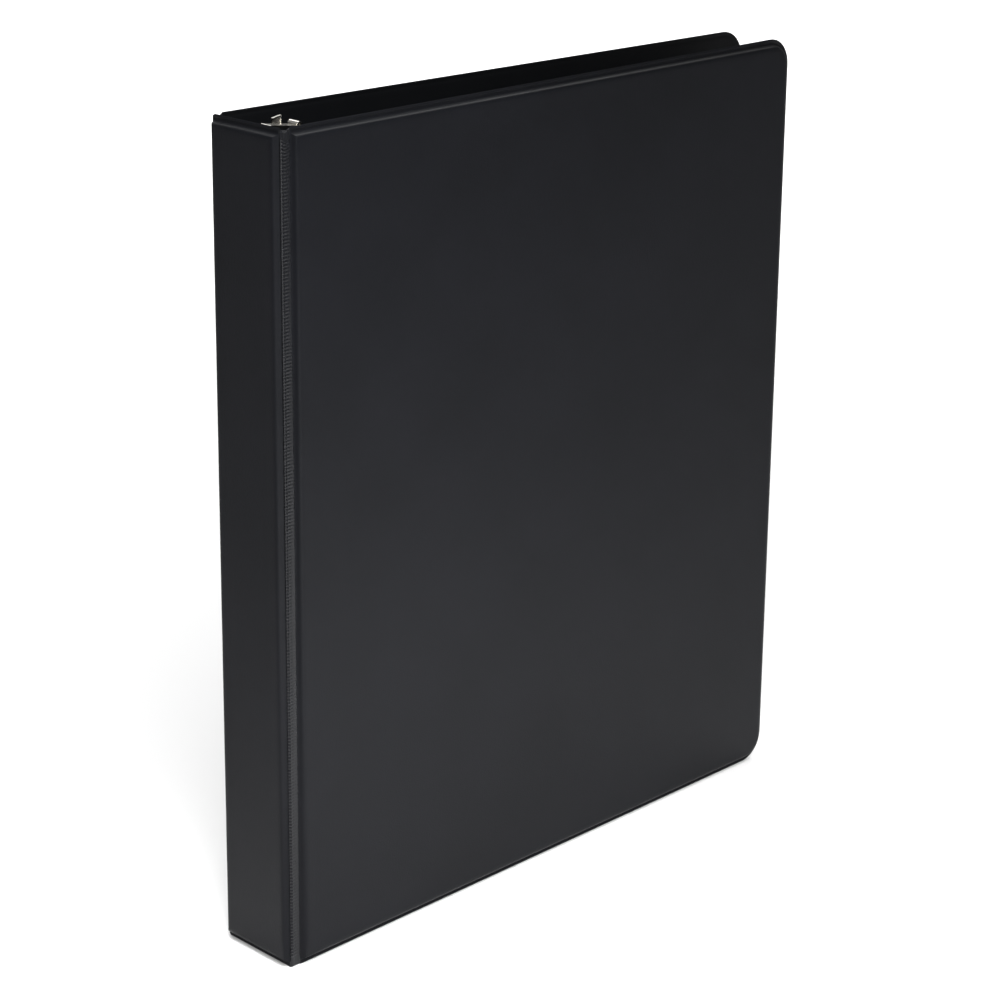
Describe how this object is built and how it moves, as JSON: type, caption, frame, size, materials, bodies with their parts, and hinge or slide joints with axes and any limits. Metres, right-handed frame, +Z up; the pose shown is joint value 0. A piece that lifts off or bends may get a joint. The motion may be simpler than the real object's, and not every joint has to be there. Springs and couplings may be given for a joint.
{
  "type": "ring binder",
  "caption": "Stiff vinyl-covered ring binder with hinged covers, a narrow spine and a lever-opened ring mechanism for letter paper.",
  "frame": {"origin": "middle of the base, where the closed binder's lower edges stand", "axes": "+Z up along the spine, +X from the spine to the fore edge, -Y out of the front cover"},
  "size_m": [0.2564, 0.0378, 0.2921],
  "materials": {
    "outer_vinyl": "matte, fine grain",
    "inner_vinyl": "smooth, low sheen",
    "pocket_vinyl": "smooth, low sheen",
    "hinge_vinyl": "ribbed weld",
    "chipboard": "raw grey chipboard",
    "nickel_plate": "bright nickel plate",
    "ring_wire": "polished nickel plate"
  },
  "bodies": {
    "spine": {"spine_board": "chipboard", "spine_outer_vinyl": "outer_vinyl", "spine_inner_vinyl": "inner_vinyl", "ring_shield": "nickel_plate", "mounting_rivets": "nickel_plate", "standoff_posts": "nickel_plate", "front_hinge_strip": "hinge_vinyl", "back_hinge_strip": "hinge_vinyl"},
    "front_cover": {"front_board": "chipboard", "front_outer_vinyl": "outer_vinyl", "front_inner_vinyl": "inner_vinyl", "front_pocket": "pocket_vinyl"},
    "back_cover": {"back_board": "chipboard", "back_outer_vinyl": "outer_vinyl", "back_inner_vinyl": "inner_vinyl", "back_pocket": "pocket_vinyl"},
    "front_blade": {"front_blade": "nickel_plate", "front_half_ring_top": "ring_wire", "front_half_ring_middle": "ring_wire", "front_half_ring_bottom": "ring_wire"},
    "back_blade": {"back_blade": "nickel_plate", "back_half_ring_top": "ring_wire", "back_half_ring_middle": "ring_wire", "back_half_ring_bottom": "ring_wire"},
    "top_lever": {"top_lever": "nickel_plate"},
    "bottom_lever": {"bottom_lever": "nickel_plate"}
  },
  "joints": [
    {"name": "front_cover_hinge", "type": "hinge", "parent": "spine", "child": "front_cover", "pos_m": [-0.12573, -0.0165, 0], "axis": [0, 0, -1], "range_deg": [0, 181], "deforming": ["front_hinge_strip"]},
    {"name": "back_cover_hinge", "type": "hinge", "parent": "spine", "child": "back_cover", "pos_m": [-0.12573, 0.0165, 0], "axis": [0, 0, 1], "range_deg": [0, 181], "deforming": ["back_hinge_strip"]},
    {"name": "front_blade_hinge", "type": "hinge", "parent": "spine", "child": "front_blade", "pos_m": [-0.12263, -0.0066, 0.14605], "axis": [0, 0, -1], "range_deg": [0, 7.5]},
    {"name": "back_blade_hinge", "type": "hinge", "parent": "spine", "child": "back_blade", "pos_m": [-0.12263, 0.0066, 0.14605], "axis": [0, 0, 1], "range_deg": [0, 7.5]},
    {"name": "top_lever_pivot", "type": "hinge", "parent": "spine", "child": "top_lever", "pos_m": [-0.12288, 0, 0.277], "axis": [0, -1, 0], "range_deg": [0, 24]},
    {"name": "bottom_lever_pivot", "type": "hinge", "parent": "spine", "child": "bottom_lever", "pos_m": [-0.12288, 0, 0.0151], "axis": [0, 1, 0], "range_deg": [0, 24]}
  ],
  "couplings": [
    {"joint": "back_blade_hinge", "follows": "front_blade_hinge", "ratio": 1},
    {"joint": "top_lever_pivot", "follows": "front_blade_hinge", "ratio": 3.2},
    {"joint": "bottom_lever_pivot", "follows": "front_blade_hinge", "ratio": 3.2}
  ]
}
